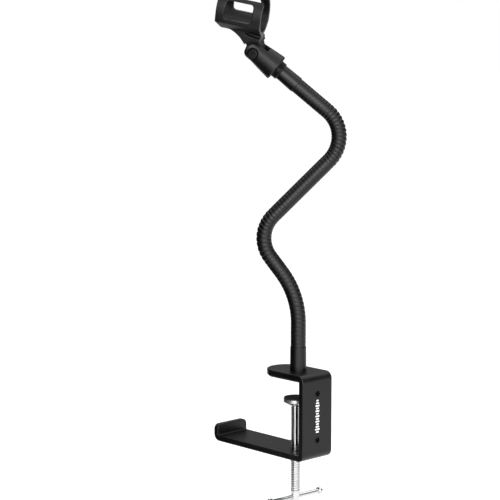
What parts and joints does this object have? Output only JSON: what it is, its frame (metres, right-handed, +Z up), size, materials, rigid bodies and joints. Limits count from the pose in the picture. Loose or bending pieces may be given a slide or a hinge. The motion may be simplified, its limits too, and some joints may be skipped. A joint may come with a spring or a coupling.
{
  "type": "desk-clamp gooseneck microphone stand",
  "caption": "Desk clamp with a bendable ribbed neck, a tilting slip-in microphone clip, a screw with a sliding bar, and a long lower arm whose turned-up lip makes a hook.",
  "frame": {"origin": "on the underside of the tongue pad, where the clamp sits on the desk, below the neck's foot", "axes": "+Z up, +Y in over the desk away from the clamp's back, X along the desk's edge"},
  "size_m": [0.0895, 0.1155, 0.4284],
  "materials": {
    "clamp_paint": "satin black powder coat",
    "rubber": "matte black",
    "black_screws": "black oxide",
    "neck_black": "satin black",
    "spring_steel": "plain",
    "ferrule_black": "semi-gloss black",
    "chrome": "bright plated",
    "cap_chrome": "bright plated",
    "zinc": "zinc plated",
    "bolt_black": "black oxide",
    "clip_plastic": "satin moulded",
    "brass": "plain turned"
  },
  "bodies": {
    "clamp": {"clamp_bracket": "clamp_paint", "tongue_pad": "rubber", "back_pad": "rubber", "back_screws": "black_screws", "neck_base_screw": "black_screws", "neck_base_ferrule": "ferrule_black", "neck_sleeve_1": "neck_black", "neck_core_1": "spring_steel"},
    "neck_2": {"neck_sleeve_2": "neck_black", "neck_core_2": "spring_steel"},
    "neck_3": {"neck_sleeve_3": "neck_black", "neck_core_3": "spring_steel"},
    "neck_4": {"neck_sleeve_4": "neck_black", "neck_core_4": "spring_steel"},
    "neck_5": {"neck_sleeve_5": "neck_black", "neck_core_5": "spring_steel"},
    "neck_6": {"neck_sleeve_6": "neck_black", "neck_core_6": "spring_steel"},
    "neck_7": {"neck_sleeve_7": "neck_black", "neck_core_7": "spring_steel"},
    "neck_8": {"neck_sleeve_8": "neck_black", "neck_core_8": "spring_steel"},
    "neck_9": {"neck_sleeve_9": "neck_black", "neck_core_9": "spring_steel", "neck_top_ferrule": "ferrule_black", "neck_thread_stud": "ferrule_black"},
    "clip_mount": {"clip_base": "clip_plastic", "clip_thread_insert": "brass", "pivot_bolt": "bolt_black", "pivot_nut": "zinc", "pivot_washers": "zinc"},
    "clip": {"clip_cradle": "clip_plastic"},
    "foot": {"pressure_foot": "zinc", "foot_pad": "rubber", "foot_retainer": "spring_steel"},
    "screw": {"clamp_screw": "chrome"},
    "bar": {"tommy_bar": "chrome", "tommy_bar_caps": "cap_chrome"}
  },
  "joints": [
    {"name": "neck_bend_1", "type": "hinge", "parent": "clamp", "child": "neck_2", "pos_m": [0, 0, 0.0438], "axis": [0.7071, 0.7071, 0], "range_deg": [-30, 30]},
    {"name": "neck_bend_2", "type": "hinge", "parent": "neck_2", "child": "neck_3", "pos_m": [-0.00455, 0.00455, 0.07516], "axis": [0.6431, -0.6431, 0.4159], "range_deg": [-30, 30]},
    {"name": "neck_bend_3", "type": "hinge", "parent": "neck_3", "child": "neck_4", "pos_m": [-0.01722, 0.01722, 0.10193], "axis": [0.7071, 0.7071, 0], "range_deg": [-30, 30]},
    {"name": "neck_bend_4", "type": "hinge", "parent": "neck_4", "child": "neck_5", "pos_m": [-0.01645, 0.01645, 0.13219], "axis": [0.562, -0.562, -0.6069], "range_deg": [-30, 30]},
    {"name": "neck_bend_5", "type": "hinge", "parent": "neck_5", "child": "neck_6", "pos_m": [-0.00042, 0.00042, 0.15516], "axis": [0.7071, 0.7071, 0], "range_deg": [-30, 30]},
    {"name": "neck_bend_6", "type": "hinge", "parent": "neck_6", "child": "neck_7", "pos_m": [0.01573, -0.01573, 0.17798], "axis": [0.4997, -0.4997, -0.7075], "range_deg": [-30, 30]},
    {"name": "neck_bend_7", "type": "hinge", "parent": "neck_7", "child": "neck_8", "pos_m": [0.02243, -0.02243, 0.20704], "axis": [0.7071, 0.7071, 0], "range_deg": [-30, 30]},
    {"name": "neck_bend_8", "type": "hinge", "parent": "neck_8", "child": "neck_9", "pos_m": [0.0077, -0.0077, 0.23089], "axis": [0.4537, -0.4537, 0.767], "range_deg": [-30, 30]},
    {"name": "clip_swivel", "type": "hinge", "parent": "neck_9", "child": "clip_mount", "pos_m": [-0.01039, 0.01039, 0.2523], "axis": [-0.5423, 0.5423, 0.6417], "range_deg": [-180, 180]},
    {"name": "clip_tilt", "type": "hinge", "parent": "clip_mount", "child": "clip", "pos_m": [-0.02515, 0.02515, 0.26975], "axis": [0.8305, 0.4614, 0.312], "range_deg": [-120, 30]},
    {"name": "screw_travel", "type": "slide", "parent": "clamp", "child": "foot", "axis": [0, 0, 1], "range_m": [-0.036, 0.0155]},
    {"name": "screw_spin", "type": "hinge", "parent": "foot", "child": "screw", "pos_m": [0, 0.003, -0.0243], "axis": [0, 0, 1], "range_deg": [-6480, 2790]},
    {"name": "bar_slide", "type": "slide", "parent": "screw", "child": "bar", "axis": [0.9986, -0.0523, 0], "range_m": [-0.021, 0.021]}
  ],
  "couplings": [
    {"joint": "screw_travel", "follows": "screw_spin", "m_per_rad": 0.00031831}
  ]
}
